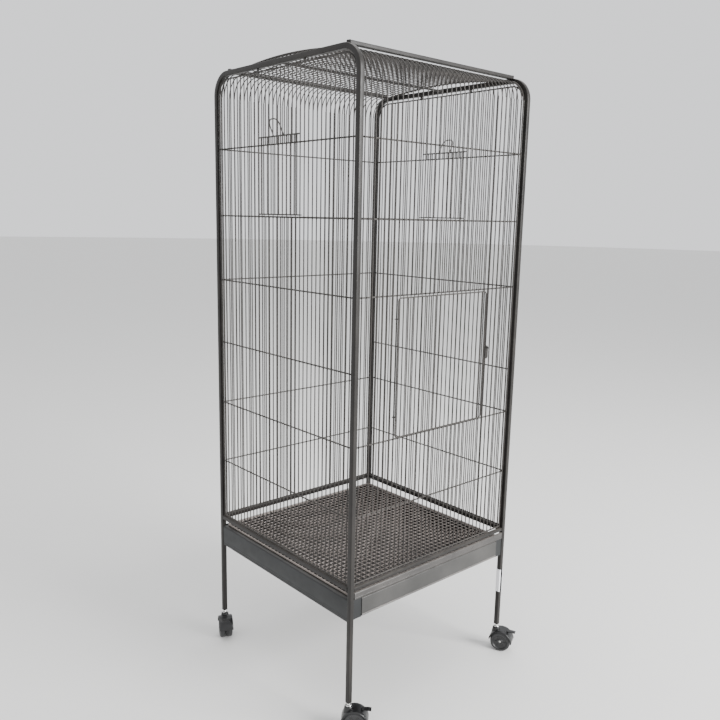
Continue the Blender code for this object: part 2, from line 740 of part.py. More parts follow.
def hood():
    """The moulded cover: a curved roof over both wheels, a web between them and a boss."""
    inner = WHEEL_RADIUS + HOOD_GAP
    outer = inner + HOOD_WALL
    half = WHEEL_GAP / 2 + WHEEL_WIDTH + HOOD_GAP
    centre = (TRAIL, WHEEL_RADIUS)
    upright = Matrix.Rotation(math.radians(90), 4, "X")
    band = arc(centre, outer, HOOD_START, HOOD_END, 14) + arc(centre, inner, HOOD_END, HOOD_START, 14)
    roof = plate([band], 2 * half, upright)
    web_outline = arc(centre, inner + HOOD_WALL / 2, -20, 200, 14)
    web_hole = arc(centre, AXLE_RADIUS + GAP, 0, 330, 11)
    web = plate([web_outline, web_hole], WHEEL_GAP - 4 * GAP, upright)
    boss = drum((0, 0, WHEEL_RADIUS * 1.55), (0, 0, HOOD_TOP), HOOD_BOSS_RADIUS, 16)
    clear = []
    for side in (-1, 1):
        start = side * (WHEEL_GAP / 2 - GAP)
        clear.append(drum((TRAIL, start, WHEEL_RADIUS), (TRAIL, side * half * 1.2, WHEEL_RADIUS), inner, 28))
    boss = welded([boss, *clear], "DIFFERENCE")
    return welded([roof, web, boss])


def wheel(side):
    """A dished plastic wheel with a rounded tread, turned about its axle."""
    half = WHEEL_WIDTH / 2
    bore = AXLE_RADIUS + GAP
    profile = [
        (bore, half * 0.8),
        (bore, -half),
        (WHEEL_RADIUS, -half),
        (WHEEL_RADIUS, half - 0.0030),
        (WHEEL_RADIUS - 0.0030, half),
        (HUB_RADIUS, half),
        (HUB_RADIUS - 0.0020, half * 0.5),
        (AXLE_RADIUS + 0.0030, half * 0.5),
    ]
    made = turned(profile, ROUND_SIDES)
    outward = Matrix.Rotation(math.radians(-90 * side), 4, "X")
    place = Matrix.Translation((TRAIL, side * (WHEEL_GAP / 2 + half), WHEEL_RADIUS))
    made.matrix_world = place @ outward
    return made


def brake():
    """A foot lever on the back of the hood, sloping down and out from its pivot."""
    pivot = brake_pivot()
    half = BRAKE_WIDTH / 2
    lever = block(
        (pivot[0], -half, pivot[2] - BRAKE_THICKNESS / 2),
        (pivot[0] + BRAKE_LENGTH, half, pivot[2] + BRAKE_THICKNESS / 2),
        BRAKE_THICKNESS / 4,
    )
    barrel = drum((pivot[0], -half, pivot[2]), (pivot[0], half, pivot[2]), BRAKE_THICKNESS * 0.8, 10)
    return welded([lever, barrel])


def brake_pivot():
    """Centre of the brake lever's barrel, just outside the hood's curve."""
    reach = WHEEL_RADIUS + HOOD_GAP + HOOD_WALL + BRAKE_THICKNESS * 0.8 + GAP
    angle = math.radians(58)
    return (TRAIL + reach * math.cos(angle), 0.0, WHEEL_RADIUS + reach * math.sin(angle))


def caster(corner, x, y, heading):
    swivel = bpy.data.objects.new(f"swivel_{corner}", None)
    swivel.location = (x, y, 0)
    swivel.rotation_euler = (0, 0, math.radians(heading))
    bpy.data.collections[CAGE].objects.link(swivel)
    stem = drum((0, 0, HOOD_TOP + GAP), (0, 0, LEG_BOTTOM - GAP), STEM_RADIUS, 12)
    collar = drum((0, 0, HOOD_TOP + GAP), (0, 0, HOOD_TOP + GAP + COLLAR_HEIGHT), COLLAR_RADIUS, 12)
    keep(welded([stem, collar]), f"caster_stem_{corner}", STEEL, swivel, (0, 0, LEG_BOTTOM), smooth=True)
    keep(hood(), f"caster_hood_{corner}", PLASTIC, swivel, smooth=True)
    axle_half = WHEEL_GAP / 2 + WHEEL_WIDTH * 0.8
    axle = drum((TRAIL, -axle_half, WHEEL_RADIUS), (TRAIL, axle_half, WHEEL_RADIUS), AXLE_RADIUS, 12)
    axis = (TRAIL, 0, WHEEL_RADIUS)
    keep(axle, f"caster_axle_{corner}", STEEL, swivel, axis, smooth=True)
    for side, word in ((-1, "right"), (1, "left")):
        keep(wheel(side), f"caster_wheel_{word}_{corner}", TREAD, swivel, axis, smooth=True)
    if corner.startswith("front"):
        keep(brake(), f"caster_brake_{corner}", PLASTIC, swivel, brake_pivot())


def make_casters():
    for corner, heading in CASTER_HEADINGS.items():
        x = -HALF if corner.endswith("left") else HALF
        y = -HALF if corner.startswith("front") else HALF
        caster(corner, x, y, heading)


def main():
    for old in list(bpy.data.objects):
        bpy.data.objects.remove(old)
    bpy.context.scene.collection.children.link(bpy.data.collections.new(CAGE))
    make_frame()
    make_panels()
    make_doors()
    make_base()
    make_casters()


main()
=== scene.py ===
import math

import bpy
import numpy as np
from mathutils import Matrix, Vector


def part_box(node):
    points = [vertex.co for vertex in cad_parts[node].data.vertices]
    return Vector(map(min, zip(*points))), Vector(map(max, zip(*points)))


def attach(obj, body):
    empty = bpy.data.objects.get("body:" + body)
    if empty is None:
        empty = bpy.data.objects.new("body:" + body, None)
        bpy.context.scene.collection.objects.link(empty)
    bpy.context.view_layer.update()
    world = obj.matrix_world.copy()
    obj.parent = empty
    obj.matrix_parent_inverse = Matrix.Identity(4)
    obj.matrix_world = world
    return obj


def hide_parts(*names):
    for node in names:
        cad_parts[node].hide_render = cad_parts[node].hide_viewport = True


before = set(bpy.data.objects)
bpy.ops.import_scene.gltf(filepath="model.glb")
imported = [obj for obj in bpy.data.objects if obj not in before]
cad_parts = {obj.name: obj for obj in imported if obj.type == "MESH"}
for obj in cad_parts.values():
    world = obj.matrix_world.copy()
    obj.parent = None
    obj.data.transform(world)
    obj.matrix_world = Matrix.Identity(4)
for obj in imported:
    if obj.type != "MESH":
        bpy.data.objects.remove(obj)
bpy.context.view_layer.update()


# The two side frames. Each is one length of 10 mm square steel tube, bent into a tall arch
# whose legs run on below the cage, and powder coated in a charcoal that is nearly black.

post = 0.231
tube = 0.010
frame_top = 1.295
leg_foot = 0.062
bend = 0.043
bend_start = frame_top - tube / 2 - bend


def skinned(points, ring=False):
    """Quads round the outlines of each run, points[run, station, corner], and its two caps.

    Each outline is joined to the next. A ring joins its last to its first and has no caps.
    """
    index = np.arange(points.size // 3).reshape(points.shape[:-1])
    corners = index.shape[-1]
    here, after = (index, np.roll(index, -1, -2)) if ring else (index[..., :-1, :], index[..., 1:, :])
    quads = np.stack([here, np.roll(here, -1, -1), np.roll(after, -1, -1), after], -1).reshape(-1, 4)
    first = index[..., 0, ::-1].reshape(-1, corners)
    last = index[..., -1, :].reshape(-1, corners)
    caps = np.empty((0, corners), int) if ring else np.concatenate([first, last])
    return points.reshape(-1, 3), quads, caps


def carry(runs, outline, across, ring=False):
    """Carries a closed outline along each run of points, and returns points, quads and caps.

    Every station stands square to the way ahead: a point is run + u * side + v * other, where
    side is `across` made square to the way ahead and other is ahead x side. A ring joins its
    last station to its first, and an open run is capped at both ends.
    """
    runs = np.asarray(runs, float)
    runs = runs[None] if runs.ndim == 2 else runs
    ahead = np.roll(runs, -1, 1) - np.roll(runs, 1, 1) if ring else np.gradient(runs, axis=1)
    ahead /= np.linalg.norm(ahead, axis=2, keepdims=True)
    across = np.asarray(across, float)
    side = across - (ahead @ across)[..., None] * ahead
    side /= np.linalg.norm(side, axis=2, keepdims=True)
    other = np.cross(ahead, side)
    outline = np.asarray(outline, float)
    points = runs[:, :, None] + side[:, :, None] * outline[:, :1] + other[:, :, None] * outline[:, 1:]
    return skinned(points, ring)


def arc(centre, radius, start, end, steps):
    """Points centre + radius * (cos t, sin t), with t going evenly from start to end degrees."""
    t = np.radians(np.linspace(start, end, steps + 1))
    return np.column_stack([centre[0] + radius * np.cos(t), centre[1] + radius * np.sin(t)])


def round_box(width, depth, corner, steps=3):
    """A rectangle's outline with a quarter circle of the given radius at each corner."""
    x = width / 2 - corner
    y = depth / 2 - corner
    turns = [((x, y), 0), ((-x, y), 90), ((-x, -y), 180), ((x, -y), 270)]
    return np.concatenate([arc(place, corner, start, start + 90, steps) for place, start in turns])


def circle(radius, sides=10):
    """Points radius * (cos t, sin t) evenly round a circle."""
    return arc((0, 0), radius, 0, 360 * (sides - 1) / sides, sides - 1)


def piece(name, shapes, material, body, stands_for=(), crease=32):
    """Joins shapes into one mesh, smooth except at its creases, which rides on a body."""
    points = []
    faces = []
    count = 0
    for verts, quads, caps in shapes:
        points.append(verts)
        faces += (quads + count).tolist() + (caps + count).tolist()
        count += len(verts)
    mesh = bpy.data.meshes.new(name)
    mesh.from_pydata(np.concatenate(points).tolist(), [], faces)
    mesh.shade_smooth()
    mesh.set_sharp_from_angle(angle=math.radians(crease))
    mesh.materials.append(material)
    made = bpy.data.objects.new(name, mesh)
    bpy.context.scene.collection.objects.link(made)
    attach(made, body)
    if stands_for:
        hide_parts(*stands_for)
    return made


def link(tree, out_node, out_name, in_node, in_name):
    """Joins one node's named output to another's named input."""
    tree.links.new(out_node.outputs[out_name], in_node.inputs[in_name])


def powder_grain():
    """Masks of a sprayed powder coat: patchy tone, settled dust, sheen and orange-peel bumps."""
    group = bpy.data.node_groups.new("powder_grain", "ShaderNodeTree")
    for name, kind in (("Tone", "Float"), ("Sheen", "Float"), ("Dust", "Float"), ("Normal", "Vector")):
        group.interface.new_socket(name, in_out="OUTPUT", socket_type=f"NodeSocket{kind}")
    nodes = group.nodes
    out = nodes.new("NodeGroupOutput")
    place = nodes.new("ShaderNodeTexCoord")
    patch = nodes.new("ShaderNodeTexNoise")
    patch.inputs["Scale"].default_value = 9.0
    patch.inputs["Detail"].default_value = 6.0
    patch.inputs["Roughness"].default_value = 0.62
    spread = nodes.new("ShaderNodeMapRange")
    spread.inputs["From Min"].default_value = 0.32
    spread.inputs["From Max"].default_value = 0.70
    smear = nodes.new("ShaderNodeTexNoise")
    smear.inputs["Scale"].default_value = 46.0
    smear.inputs["Detail"].default_value = 5.0
    peel = nodes.new("ShaderNodeTexNoise")
    peel.inputs["Scale"].default_value = 1100.0
    peel.inputs["Detail"].default_value = 2.0
    grit = nodes.new("ShaderNodeTexVoronoi")
    grit.inputs["Scale"].default_value = 620.0
    speck = nodes.new("ShaderNodeMapRange")
    speck.inputs["From Min"].default_value = 0.10
    speck.inputs["From Max"].default_value = 0.24
    speck.inputs["To Min"].default_value = 1.0
    speck.inputs["To Max"].default_value = 0.0
    normal = nodes.new("ShaderNodeNewGeometry")
    parts = nodes.new("ShaderNodeSeparateXYZ")
    upward = nodes.new("ShaderNodeMapRange")
    upward.inputs["From Min"].default_value = 0.55
    upward.inputs["From Max"].default_value = 1.0
    dusty = nodes.new("ShaderNodeMath")
    dusty.operation = "MULTIPLY"
    settled = nodes.new("ShaderNodeMath")
    settled.operation = "MULTIPLY_ADD"
    settled.inputs[2].default_value = 0.0
    bump = nodes.new("ShaderNodeBump")
    bump.inputs["Strength"].default_value = 0.30
    bump.inputs["Distance"].default_value = 0.00012
    for texture in (patch, smear, peel, grit):
        link(group, place, "Object", texture, "Vector")
    link(group, patch, "Fac", spread, "Value")
    link(group, spread, "Result", out, "Tone")
    link(group, smear, "Fac", out, "Sheen")
    link(group, peel, "Fac", bump, "Height")
    link(group, bump, "Normal", out, "Normal")
    link(group, grit, "Distance", speck, "Value")
    link(group, normal, "Normal", parts, "Vector")
    link(group, parts, "Z", upward, "Value")
    group.links.new(upward.outputs["Result"], dusty.inputs[0])
    group.links.new(smear.outputs["Fac"], dusty.inputs[1])
    group.links.new(speck.outputs["Result"], settled.inputs[0])
    settled.inputs[1].default_value = 0.10
    group.links.new(dusty.outputs["Value"], settled.inputs[2])
    link(group, settled, "Value", out, "Dust")
    return group


powder = powder_grain()


def coated(name, deep, pale, dust, roughness, gloss=0.5):
    """Powder-coated steel: two close tones in patches, a little dust on top, and fine peel."""
    material = bpy.data.materials.new(name)
    material.use_nodes = True
    tree = material.node_tree
    shader = tree.nodes["Principled BSDF"]
    shader.inputs["Specular IOR Level"].default_value = gloss
    grain = tree.nodes.new("ShaderNodeGroup")
    grain.node_tree = powder
    tone = tree.nodes.new("ShaderNodeMix")
    tone.data_type = "RGBA"
    tone.inputs[6].default_value = (*deep, 1)
    tone.inputs[7].default_value = (*pale, 1)
    laid = tree.nodes.new("ShaderNodeMix")
    laid.data_type = "RGBA"
    laid.inputs[7].default_value = (*dust, 1)
    sheen = tree.nodes.new("ShaderNodeMapRange")
    sheen.inputs["From Min"].default_value = 0.3
    sheen.inputs["From Max"].default_value = 0.7
    sheen.inputs["To Min"].default_value = roughness - 0.07
    sheen.inputs["To Max"].default_value = roughness + 0.08
    tree.links.new(grain.outputs["Tone"], tone.inputs[0])
    tree.links.new(tone.outputs[2], laid.inputs[6])
    tree.links.new(grain.outputs["Dust"], laid.inputs[0])
    tree.links.new(laid.outputs[2], shader.inputs["Base Color"])
    tree.links.new(grain.outputs["Sheen"], sheen.inputs["Value"])
    tree.links.new(sheen.outputs["Result"], shader.inputs["Roughness"])
    tree.links.new(grain.outputs["Normal"], shader.inputs["Normal"])
    return material


charcoal = coated(
    "charcoal_coat", (0.010, 0.0092, 0.0086), (0.026, 0.0235, 0.0212), (0.09, 0.080, 0.070), 0.38, 0.25
)
tube_outline = round_box(tube, tube, 0.0014, 4)

for side, word in ((-1, "left"), (1, "right")):
    flat = post - bend
    front_bend = arc((-flat, bend_start), bend, 180, 90, 24)
    rear_bend = arc((flat, bend_start), bend, 90, 0, 24)
    foot = [[-post, leg_foot], [-post, leg_foot + 0.004]]
    far_foot = [[post, leg_foot + 0.004], [post, leg_foot]]
    along = np.concatenate([foot, front_bend, rear_bend, far_foot])
    arch = np.column_stack([np.full(len(along), side * post), along])
    piece(
        f"{word}_arch",
        [carry(arch, tube_outline, (1, 0, 0))],
        charcoal,
        "cage",
        [f"{word}_side_frame"],
        60,
    )


# The straight bars that join the two frames: two top bars level with the arches, where their
# bends end, a lower rail on three sides, and a slimmer bar over the grate. All are coated
# steel, cut square and welded to the frames with a small bead all round.

clear = post - tube / 2
bar_height = 0.0075
bar_place = post - bend + 0.0035
rail_height = 0.301
slim_height = 0.007
slim_depth = 0.008
bead = 0.0007
butt = 0.0003


def weld_ring(place, along, width, depth):
    """A bead round the end of a bar: a small circle carried round the bar's own outline.

    The radius of the path swells and sinks as 1 + 0.05 sin(7 t) + 0.035 sin(11 t).
    """
    rim = round_box(width, depth, 0.0016, 6)
    turn = np.linspace(0, 2 * np.pi, len(rim), endpoint=False)
    rim = rim * (1 + 0.05 * np.sin(7 * turn) + 0.035 * np.sin(11 * turn))[:, None]
    place = np.asarray(place, float)
    if along == 0:
        path = np.column_stack([np.zeros(len(rim)), rim])
    else:
        path = np.column_stack([rim[:, 0], np.zeros(len(rim)), rim[:, 1]])
    return carry(place + path, circle(bead, 6), np.eye(3)[along], ring=True)


def welded_bar(name, start, end, width, depth, node):
    """A straight tube between two posts with a bead at each end."""
    start = np.asarray(start, float)
    end = np.asarray(end, float)
    along = int(np.argmax(np.abs(end - start)))
    step = np.eye(3)[along] * butt
    across = (0, 1, 0) if along == 0 else (1, 0, 0)
    body = carry([start + step, (start + end) / 2, end - step], round_box(width, depth, 0.0014, 4), across)
    beads = [weld_ring(start + 3 * step, along, width, depth), weld_ring(end - 3 * step, along, width, depth)]
    piece(name, [body, *beads], charcoal, "cage", [node], 60)


top_line = frame_top + tube / 2 - bar_height / 2
for side, word in ((-1, "front"), (1, "rear")):
    ends = [(x, side * bar_place, top_line) for x in (-clear, clear)]
    welded_bar(f"{word}_top_tube", *ends, tube, bar_height, f"{word}_top_bar")
for side, word in ((-1, "left"), (1, "right")):
    ends = [(side * post, y, rail_height) for y in (-clear, clear)]
    welded_bar(f"{word}_rail", *ends, tube, tube, f"{word}_lower_rail")
ends = [(x, post, rail_height) for x in (-clear, clear)]
welded_bar("rear_rail", *ends, tube, tube, "rear_lower_rail")
ends = [(x, -post, rail_height) for x in (-clear, clear)]
welded_bar("slim_front_bar", *ends, slim_depth, slim_height, "front_lower_bar")


# The round rod across the middle of the roof, from arch to arch: plain steel bar, coated with
# the frames. The roof wires are crowned and pass above it.

rod_radius = 0.0024
rod_height = frame_top - 0.007
rod_reach = clear - butt
rod_line = [[x, 0, rod_height] for x in (-rod_reach, 0, rod_reach)]
rod = carry(rod_line, circle(rod_radius, 16), (0, 1, 0))
piece("roof_rod", [rod], charcoal, "cage", ["roof_cross_rod"])


# The wire walls. Upright wires stand half an inch apart, spot welded to thicker cross wires
# that run behind them, and the whole panel is coated once it is welded, so the coat fillets
# every crossing. The sides have a flat top under the arch, joined to it by two small tabs.

pitch = 0.0127
wire = 0.00115
cross_wire = 0.0015
edge_wire = 0.0016
bite = 0.0003
levels = 7
top_wire = frame_top - tube - 0.0061
bottom_wire = rail_height + tube / 2 + 0.0023
level_pitch = (top_wire - rail_height) / levels
edge = clear - 0.0040
wall = post - 0.0025
cross_set = wire + cross_wire - bite
uprights = np.arange(-17, 18) * pitch
wander = np.random.default_rng(7)
feeder_half = 5
main_half = 10
tab_place = 6
tab_width = 0.006
tab_thick = 0.0024
tab_bend = 0.003
# The wires wear the same charcoal coat as the frames; this coat's lighter tones are painted reflection,
# standing in for the light the wires catch from the camera side.
wire_coat_painted_reflection = coated(
    "wire_coat_painted_reflection", (0.020, 0.0180, 0.0165), (0.048, 0.043, 0.039), (0.10, 0.090, 0.080), 0.36, 0.30
)

walls = {
    "front": ((1, 0), (0, 1), wall),
    "rear": ((-1, 0), (0, -1), wall),
    "left": ((0, -1), (1, 0), post),
    "right": ((0, 1), (-1, 0), post),
}


def stand(name, along, inward, height):
    """Points of a wall: `along` from its middle to its right, `inward` from its own plane."""
    right, towards, distance = walls[name]
    along, inward, height = np.broadcast_arrays(along, inward, height)
    x = right[0] * along + towards[0] * (inward - distance)
    y = right[1] * along + towards[1] * (inward - distance)
    return np.stack([x, y, height], -1).astype(float)


def upright_runs(name, places, low, high, bow=0.0004):
    """Upright wires, each bowed by up to `bow` as sin(pi s) between its welded ends."""
    share = np.linspace(0, 1, 5)
    places = np.asarray(places, float)[:, None]
    low = np.broadcast_to(low, places.shape[:1])[:, None]
    high = np.broadcast_to(high, places.shape[:1])[:, None]
    swing = wander.uniform(-bow, bow, places.shape)
    return stand(name, places + swing * np.sin(np.pi * share), 0.0, low + (high - low) * share)


def cross_runs(name, heights, reach=edge):
    """Level wires just inside the uprights, sagging by a hair in the middle."""
    share = np.linspace(-1, 1, 9)
    heights = np.asarray(heights, float)[:, None]
    return stand(name, reach * share, cross_set, heights - 0.0003 * (1 - share * share))


def weld_spots(name, places, heights, radius=0.0013):
    """A squashed ball of coat and weld at each crossing: six-sided rings carried through it."""
    places = np.asarray(places, float)[:, None]
    heights = np.asarray(heights, float)[None]
    grow = np.array([0.25, 0.85, 1.0, 0.85, 0.25])
    step = np.array([-1.0, -0.6, 0.0, 0.6, 1.0]) * radius
    ring = circle(radius, 6)
    inward = cross_set / 2
    shape = (places.size, heights.size, 5, 6)
    x = np.broadcast_to((places[..., None, None] + ring[:, 0] * grow[:, None]), shape)
    d = np.broadcast_to(inward + ring[:, 1] * grow[:, None], shape)
    z = np.broadcast_to(heights[..., None, None] + step[:, None], shape)
    return skinned(stand(name, x, d, z))


def height_of(step):
    """Height of a cross wire, counted in steps of level_pitch down from the top wire."""
    return top_wire - np.asarray(step, float) * level_pitch


corner = top_wire - bend_start
past = np.clip(np.abs(uprights) - (edge - corner), 0, None)
under_arch = bend_start + np.sqrt(corner * corner - past * past)

for name in ("left", "right"):
    near_bend = arc((-edge + corner, bend_start), corner, 180, 90, 12)
    far_bend = arc((edge - corner, bend_start), corner, 90, 0, 12)
    rim = np.concatenate([[[-edge, bottom_wire]], near_bend, far_bend, [[edge, bottom_wire]]])
    rim = stand(name, rim[:, 0], 0.0, rim[:, 1])
    facing = stand(name, 0, 1, 0) - stand(name, 0, 0, 0)
    foot = stand(name, np.linspace(-edge, edge, 3), 0.0, bottom_wire)
    inside = np.abs(uprights) < (feeder_half - 0.5) * pitch
    doorway_low, doorway_high = height_of([2, 1])
    bars = [1, 2, 3, 4, 5, 6] if name == "left" else [1, 2, 3, 4.31, 5, 6]
    beside = upright_runs(name, uprights[~inside], bottom_wire, under_arch[~inside])
    below = upright_runs(name, uprights[inside], bottom_wire, doorway_low + cross_wire)
    above = upright_runs(name, uprights[inside], doorway_high - cross_wire, top_wire)
    shapes = [
        carry(rim, circle(edge_wire, 12), facing),
        carry(foot, circle(edge_wire, 12), facing),
        carry(beside, circle(wire), facing),
        carry(below, circle(wire), facing),
        carry(above, circle(wire), facing),
        carry(cross_runs(name, height_of(bars)), circle(cross_wire), facing),
        weld_spots(name, uprights, height_of(bars)),
    ]
    tab_heights = np.array([top_wire, top_wire + tab_bend, frame_top - tube - butt])
    for wires_away in (-tab_place, tab_place):
        tab_line = stand(name, wires_away * pitch, 0.0, tab_heights)
        shapes.append(carry(tab_line, round_box(tab_thick, tab_width, 0.0006, 2), facing))
    piece(f"{name}_wire_wall", shapes, wire_coat_painted_reflection, "cage", [f"{name}_side_panel"])

shoulder = bend_start - butt / 2
for name in ("front", "rear"):
    facing = stand(name, 0, 1, 0) - stand(name, 0, 0, 0)
    sides = stand(name, np.array([[-edge], [edge]]), 0.0, np.linspace(bottom_wire, shoulder, 3))
    foot = stand(name, np.linspace(-edge, edge, 3), 0.0, bottom_wire)
    bars = [1, 2, 3, 5, 6]
    shapes = [
        carry(sides, circle(edge_wire, 12), facing),
        carry(foot, circle(edge_wire, 12), facing),
        carry(cross_runs(name, height_of(bars)), circle(cross_wire), facing),
        weld_spots(name, uprights, height_of(bars)),
    ]
    if name == "front":
        inside = np.abs(uprights) < (main_half - 0.5) * pitch
        low, high = height_of([5, 3])
        beside = upright_runs(name, uprights[~inside], bottom_wire, shoulder)
        below = upright_runs(name, uprights[inside], bottom_wire, low + cross_wire)
        above = upright_runs(name, uprights[inside], high - cross_wire, shoulder)
        shapes += [carry(runs, circle(wire), facing) for runs in (beside, below, above)]
    else:
        shapes.append(carry(upright_runs(name, uprights, bottom_wire, shoulder), circle(wire), facing))
    piece(f"{name}_wire_wall", shapes, wire_coat_painted_reflection, "cage", [f"{name}_panel"])


# The roof. The front and rear uprights turn inwards over a bend and cross the cage as long
# wires that rise a little towards the middle, with finer cross wires welded under them.

crown = 0.014
long_wire = 0.00105
short_wire = 0.0009
roof_flat = wall - bend
roof_set = 0.0012


def roof_line(y):
    """Height of the long wires: bend_start + bend + crown * (1 - (y / roof_flat) squared)."""
    share = np.clip(np.abs(y) / roof_flat, 0, 1)
    return bend_start + bend + crown * (1 - share * share)


rear_turn = arc((roof_flat, bend_start), bend - roof_set, 90, 0, 10)
front_turn = arc((-roof_flat, bend_start), bend - roof_set, 180, 90, 10)
level = np.linspace(-roof_flat, roof_flat, 31)[1:-1]
over = np.concatenate([front_turn, np.column_stack([level, roof_line(level) - roof_set]), rear_turn])


def roof_runs(places, path):
    """The same line over the roof, repeated at each place across it."""
    places = np.asarray(places, float)
    runs = np.empty((len(places), len(path), 3))
    runs[:, :, 0] = places[:, None]
    runs[:, :, 1:] = path
    return runs


fine = np.arange(-14, 15) * pitch
fine_reach = clear - 0.0008
share = np.linspace(-1, 1, 5)
fine_runs = np.empty((len(fine), 5, 3))
fine_runs[:, :, 0] = fine_reach * share
fine_runs[:, :, 1] = fine[:, None]
fine_runs[:, :, 2] = (roof_line(fine) - roof_set - long_wire - short_wire + bite)[:, None]
shapes = [
    carry(roof_runs([-edge, edge], over), circle(edge_wire, 10), (1, 0, 0)),
    carry(roof_runs(uprights, over), circle(long_wire, 8), (1, 0, 0)),
    carry(fine_runs, circle(short_wire, 6), (0, 1, 0)),
]
piece("wire_roof", shapes, wire_coat_painted_reflection, "cage", ["roof_panel"])


# The main door. A frame of slightly thicker wire with uprights at the same pitch rests just
# outside its doorway, and hangs on two wire rings closed round the upright at its left.

door_set = -0.0045
door_rod = 0.0014
door_gap = 0.0045
ring_radius = 0.0034
ring_wire = 0.0009
ring_inset = 0.040


def ring_path(name, along, height):
    """A level ring round an upright: radius * (cos t, sin t) about it."""
    loop = circle(ring_radius, 18)
    return stand(name, along + loop[:, 0], loop[:, 1], height)


def wire_frame(name, half, low, high, inward, bend_radius=0.006):
    """A rectangle of wire with bent corners, in a wall's own plane or just outside it."""
    loop = round_box(2 * half, high - low, bend_radius, 6)
    return stand(name, loop[:, 0], inward, (high + low) / 2 + loop[:, 1])


low, high = height_of([5, 3]) + np.array([door_gap, -door_gap])
facing = stand("front", 0, 1, 0) - stand("front", 0, 0, 0)
spread = np.arange(1 - main_half, main_half) * pitch
door_wires = upright_runs("front", spread, low, high, 0.0003) + facing * door_set
door_half = main_half * pitch
shapes = [
    carry(wire_frame("front", door_half, low, high, door_set), circle(door_rod, 12), facing, ring=True),
    carry(door_wires, circle(wire), facing),
]
for height in (low + ring_inset, high - ring_inset):
    hinge_ring = ring_path("front", -door_half, height)
    shapes.append(carry(hinge_ring, circle(ring_wire, 8), (0, 0, 1), ring=True))
piece("door_leaf", shapes, wire_coat_painted_reflection, "main_door", ["main_door"])


# The door's turn button: a pressed steel tongue beside the doorway, with a small raised finger
# grip at its end. The tab and headed pin that hold the real one aren't made here.

pin_along = (main_half + 0.5) * pitch
pin_height = float((low + high) / 2)
button_set = 0.0076
button_thick = 0.0018
button_half = 0.0045
button_top = 0.021


def flat_plate(outline, thickness, middle, right, up):
    """A flat shape: an outline in the plane of right and up, carried through its thickness."""
    right = np.asarray(right, float)
    up = np.asarray(up, float)
    through = np.cross(right, up)
    middle = np.asarray(middle, float)
    soft = 0.15 * thickness
    steps = np.array([-0.5, -0.5 + 0.15, 0.5 - 0.15, 0.5]) * thickness
    shrink = np.array([soft, 0, 0, soft])
    outline = np.asarray(outline, float)
    centre = outline.mean(0)
    reach = np.linalg.norm(outline - centre, axis=1, keepdims=True)
    rings = [centre + (outline - centre) * (1 - cut / reach) for cut in shrink]
    layers = [
        middle + ring[:, :1] * right + ring[:, 1:] * up + through * step
        for ring, step in zip(rings, steps)
    ]
    return skinned(np.stack(layers))


tongue = np.concatenate(
    [
        arc((0, button_top - button_half), button_half, 0, 180, 12),
        arc((0, -0.007 + button_half), button_half, 180, 360, 12),
    ]
)
button_face = (pin_along, -wall - button_set, pin_height)
grip_middle = (pin_along, -wall - button_set - 0.0042, pin_height + 0.0165)
shapes = [
    flat_plate(tongue, button_thick, button_face, (1, 0, 0), (0, 0, 1)),
    flat_plate(round_box(0.0044, 0.0022, 0.0008, 3), 0.0056, grip_middle, (1, 0, 0), (0, 0, 1)),
]
piece("turn_button", shapes, charcoal, "door_latch", ["door_latch"])


# The feeder doors. A small wire gate rests outside each side wall and lifts straight up:
# rings at its foot slide on two uprights, and a wire loop that leans outwards is its handle.

feeder_end = 0.0025
loop_half = 0.0165
loop_height = 0.030
loop_lean = 0.014
loop_wire = 0.0012
gate_rail = 0.0015
ring_rise = 0.00225
for name in ("left", "right"):
    node = f"{name}_feeder_door"
    facing = stand(name, 0, 1, 0) - stand(name, 0, 0, 0)
    right = stand(name, 1, 0, 0) - stand(name, 0, 0, 0)
    ring_height = height_of(2) + cross_wire + ring_wire + ring_rise
    gate_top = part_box(node)[1][2] - loop_height - loop_wire
    half = feeder_half * pitch
    gate_wires = np.arange(1 - feeder_half, feeder_half) * pitch
    rail_along = np.linspace(-half - feeder_end, half + feeder_end, 3)
    rails = stand(name, rail_along, door_set, np.array([[ring_height], [gate_top]]))
    stile_along = np.array([[-half + door_gap], [half - door_gap]])
    stiles = stand(name, stile_along, door_set, np.linspace(ring_height, gate_top, 3))
    uplift = upright_runs(name, gate_wires, ring_height, gate_top, 0.0002) + facing * door_set
    crest = arc((0, 0), 1.0, 0, 180, 20)
    squared = np.sign(crest[:, 0]) * np.abs(crest[:, 0]) ** 0.7
    crest = np.column_stack([loop_half * squared, 0.55 + 0.45 * crest[:, 1]])
    bow = np.concatenate([[[loop_half, 0], [loop_half, 0.3]], crest, [[-loop_half, 0.3], [-loop_half, 0]]])
    handle = stand(name, bow[:, 0], door_set - loop_lean * bow[:, 1], gate_top + loop_height * bow[:, 1])
    leaning = facing * loop_height + np.array([0, 0, loop_lean])
    shapes = [
        carry(rails, circle(gate_rail, 10), facing),
        carry(stiles, circle(wire, 10), facing),
        carry(uplift, circle(wire), facing),
        carry(handle, circle(loop_wire, 10), leaning),
        carry(ring_path(name, -half, ring_height), circle(ring_wire, 8), (0, 0, 1), ring=True),
        carry(ring_path(name, half, ring_height), circle(ring_wire, 8), (0, 0, 1), ring=True),
    ]
    piece(f"{name}_feeder_gate", shapes, wire_coat_painted_reflection, node, [node])


# The skirts. Thin steel sheet is folded into a channel along each side: the face, a ledge
# that carries the grate and a runner for the tray. The rear skirt is a plain hemmed strip, and
# a small block fills each front corner.

sheet = 0.0012
skirt_top = rail_height - 0.022
skirt_foot = rail_height - 0.069
runner_top = rail_height - 0.0625 + sheet
ledge_width = 0.018
runner_width = 0.042
hem_width = 0.0018
plate_width = 0.020
sheet_coat = coated(
    "sheet_coat", (0.010, 0.0112, 0.0118), (0.020, 0.0215, 0.0225), (0.08, 0.076, 0.07), 0.36, 0.30
)


